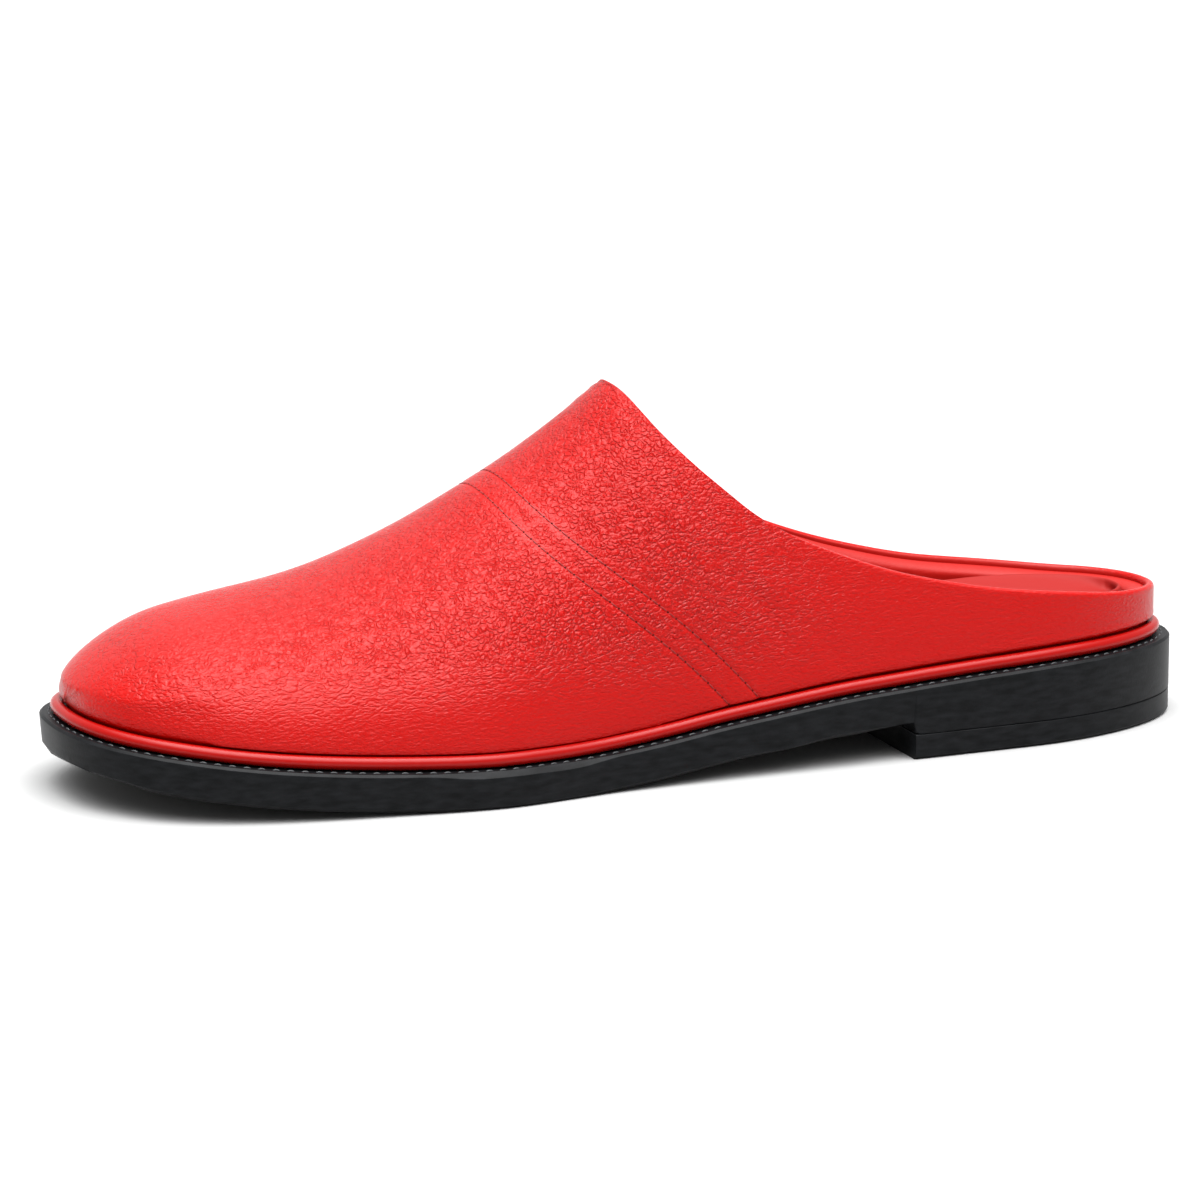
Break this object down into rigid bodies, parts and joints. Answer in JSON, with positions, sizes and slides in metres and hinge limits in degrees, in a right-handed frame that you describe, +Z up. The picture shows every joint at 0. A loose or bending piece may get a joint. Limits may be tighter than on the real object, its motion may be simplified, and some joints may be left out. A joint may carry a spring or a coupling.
{
  "type": "babouche slipper",
  "caption": "Backless closed-toe leather slipper with a hollow upper, padded heel lining, footbed, rolled piping and a low rubber sole with heel.",
  "frame": {"origin": "on the floor, at the middle of the shoe's length and width", "axes": "+X from the heel to the toe, +Y to the outer side of the foot, +Z up"},
  "size_m": [0.29, 0.098, 0.0913],
  "materials": {
    "upper_leather": "pebble-grained, semi-gloss",
    "piping_leather": "smooth, semi-gloss",
    "lining_leather": "smooth, satin",
    "footbed_leather": "smooth, satin",
    "sole_rubber": "matt, moulded"
  },
  "bodies": {
    "root": {"outsole": "sole_rubber", "heel_lift": "sole_rubber", "welt_piping": "piping_leather", "upper": "upper_leather", "collar_lining": "lining_leather", "insole": "footbed_leather"}
  },
  "joints": []
}
